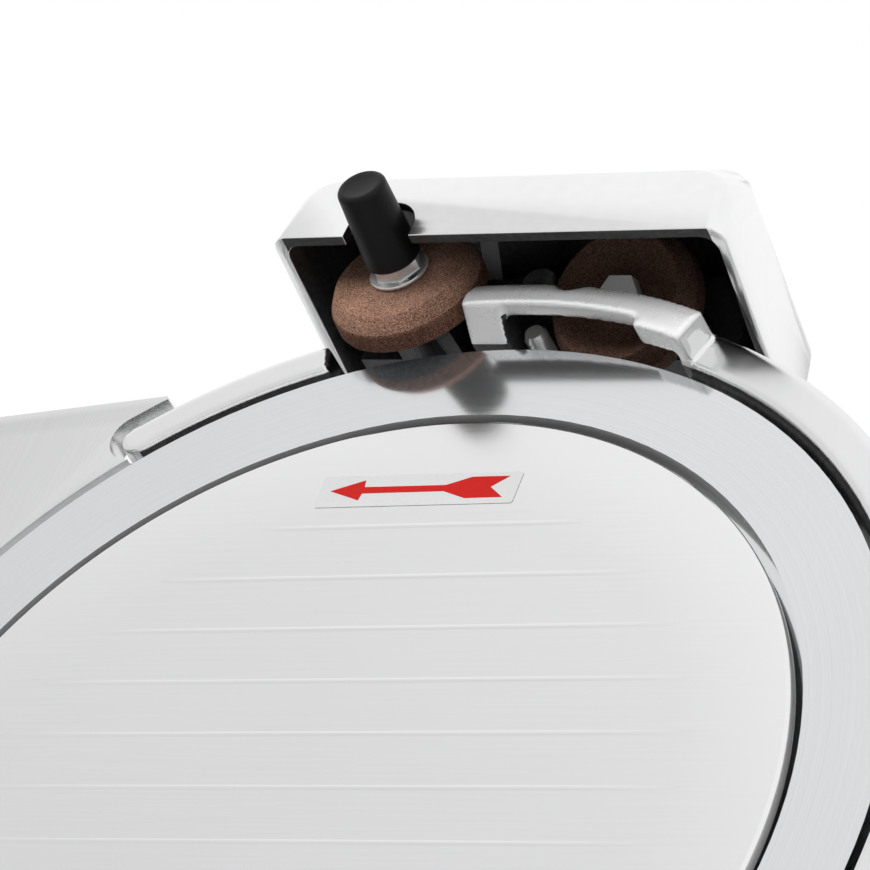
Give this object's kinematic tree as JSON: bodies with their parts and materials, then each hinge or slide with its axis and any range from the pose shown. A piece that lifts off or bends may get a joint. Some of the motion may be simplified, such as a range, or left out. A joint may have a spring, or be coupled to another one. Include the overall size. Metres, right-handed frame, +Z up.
{
  "type": "electric food slicer",
  "caption": "Gravity-feed electric food slicer with a tilted round blade, sliding food carriage, thickness gauge plate and built-in blade sharpener on a cast base.",
  "frame": {"origin": "middle of the overall box at the soles of the feet", "axes": "+Z up, +X from the operator to the back along the carriage travel, -Y the food side"},
  "size_m": [0.566, 0.4071, 0.438],
  "materials": {
    "cast_aluminium": "satin cast",
    "polished_aluminium": "polished",
    "blade_steel": "mirror ground",
    "machined_steel": "turned",
    "plated_screws": "zinc plated",
    "sheet_steel": "powder coat",
    "black_plastic": "fine moulded",
    "black_rubber": "matte",
    "clear_plastic": "clear",
    "grit_stone": "bonded grit",
    "copper_winding": "enamelled wire",
    "label_film": "printed film",
    "green_plastic": "moulded",
    "red_plastic": "moulded",
    "lamp_lens": "clear lens"
  },
  "bodies": {
    "frame": {"base_housing": "cast_aluminium", "bottom_plate": "sheet_steel", "rubber_feet": "black_rubber", "foot_screws": "plated_screws", "cord_gland": "black_plastic", "head_casting": "cast_aluminium", "belt_cover": "cast_aluminium", "case_screws": "plated_screws", "slice_deflector": "polished_aluminium", "sharpener_post": "machined_steel", "ring_guard": "polished_aluminium", "blade_bearings": "machined_steel", "blade_cover": "polished_aluminium", "direction_label": "label_film", "cover_tie_rod": "machined_steel", "motor_case": "sheet_steel", "motor_stator": "copper_winding", "drive_belt": "black_rubber", "run_capacitor": "plated_screws", "gauge_guide": "cast_aluminium", "carriage_rail": "machined_steel", "switch_panel": "black_plastic", "pilot_lens": "lamp_lens", "switch_block": "black_plastic"},
    "blade_rotor": {"knife_blade": "blade_steel", "blade_screws": "plated_screws", "blade_hub": "machined_steel", "driven_pulley": "machined_steel"},
    "motor_rotor": {"motor_shaft": "machined_steel", "motor_fan": "black_plastic", "drive_pulley": "machined_steel"},
    "gauge": {"gauge_plate": "polished_aluminium", "gauge_bar": "cast_aluminium", "gauge_screws": "plated_screws", "cam_roller": "machined_steel"},
    "thickness_dial": {"thickness_knob": "black_plastic", "knob_spindle": "machined_steel", "scroll_cam": "machined_steel"},
    "carriage": {"carriage_slider": "machined_steel", "carriage_arm": "cast_aluminium", "food_table": "polished_aluminium", "pusher_rod": "machined_steel", "hand_guard": "clear_plastic", "carriage_handle": "black_plastic"},
    "pusher_bush": {"pusher_sleeve": "machined_steel"},
    "pusher": {"pusher_arm": "cast_aluminium", "pusher_plate": "polished_aluminium", "pusher_grip": "black_plastic"},
    "sharpener": {"sharpener_hood": "polished_aluminium", "spindle_bracket": "cast_aluminium"},
    "sharpener_clamp": {"clamp_knob": "black_plastic"},
    "front_plunger": {"front_spindle": "machined_steel", "front_push_cap": "black_plastic"},
    "front_wheel": {"front_stone": "grit_stone"},
    "rear_plunger": {"rear_spindle": "machined_steel", "rear_push_cap": "black_plastic"},
    "rear_wheel": {"rear_stone": "grit_stone"},
    "on_key": {"on_button": "green_plastic"},
    "off_key": {"off_button": "red_plastic"},
    "cover_nut": {"cover_knob": "black_plastic"}
  },
  "joints": [
    {"name": "blade_spin", "type": "hinge", "parent": "frame", "child": "blade_rotor", "pos_m": [0.071, 0.0225, 0.255], "axis": [0, -0.7431, 0.6691], "continuous": true},
    {"name": "motor_spin", "type": "hinge", "parent": "frame", "child": "motor_rotor", "pos_m": [0.099, -0.04174, 0.18366], "axis": [0, -0.7431, 0.6691], "continuous": true},
    {"name": "gauge_slide", "type": "slide", "parent": "frame", "child": "gauge", "axis": [0, 0.7431, -0.6691], "range_m": [0, 0.015]},
    {"name": "dial_turn", "type": "hinge", "parent": "frame", "child": "thickness_dial", "pos_m": [-0.14, 0.05029, 0.05303], "axis": [-1, 0, 0], "range_deg": [0, 320.01]},
    {"name": "carriage_slide", "type": "slide", "parent": "frame", "child": "carriage", "axis": [1, 0, 0], "range_m": [0, 0.26]},
    {"name": "pusher_slide", "type": "slide", "parent": "carriage", "child": "pusher_bush", "axis": [0, 0.7431, -0.6691], "range_m": [0, 0.128]},
    {"name": "pusher_swing", "type": "hinge", "parent": "pusher_bush", "child": "pusher", "pos_m": [-0.209, -0.13395, 0.33531], "axis": [0, -0.7431, 0.6691], "range_deg": [0, 50]},
    {"name": "sharpener_lift", "type": "slide", "parent": "frame", "child": "sharpener", "axis": [0, 0.6691, 0.7431], "range_m": [0, 0.024]},
    {"name": "clamp_turn", "type": "hinge", "parent": "sharpener", "child": "sharpener_clamp", "pos_m": [0.064, 0.17148, 0.35769], "axis": [0, -0.7431, 0.6691], "range_deg": [0, 180]},
    {"name": "front_press", "type": "slide", "parent": "sharpener", "child": "front_plunger", "axis": [0, 0.6508, -0.7593], "range_m": [0, 0.0026], "stiffness_N_per_m": 1200, "springref_m": -0.003},
    {"name": "front_spin", "type": "hinge", "parent": "front_plunger", "child": "front_wheel", "pos_m": [0.0337, 0.13057, 0.37891], "axis": [0, -0.6508, 0.7593], "continuous": true},
    {"name": "rear_press", "type": "slide", "parent": "sharpener", "child": "rear_plunger", "axis": [0, -0.9397, 0.342], "range_m": [0, 0.0015], "stiffness_N_per_m": 1200, "springref_m": -0.003},
    {"name": "rear_spin", "type": "hinge", "parent": "rear_plunger", "child": "rear_wheel", "pos_m": [0.0945, 0.1298, 0.38015], "axis": [0, -0.9397, 0.342], "continuous": true},
    {"name": "on_press", "type": "slide", "parent": "frame", "child": "on_key", "axis": [1, 0, 0], "range_m": [0, 0.003], "stiffness_N_per_m": 600, "springref_m": -0.002},
    {"name": "off_press", "type": "slide", "parent": "frame", "child": "off_key", "axis": [1, 0, 0], "range_m": [0, 0.003], "stiffness_N_per_m": 600, "springref_m": -0.002},
    {"name": "cover_release", "type": "hinge", "parent": "frame", "child": "cover_nut", "pos_m": [0.071, 0.13694, 0.15195], "axis": [0, -0.7431, 0.6691], "range_deg": [0, 180]}
  ],
  "couplings": [
    {"joint": "motor_spin", "follows": "blade_spin", "ratio": 2.75},
    {"joint": "dial_turn", "follows": "gauge_slide", "rad_per_m": 372.34}
  ]
}
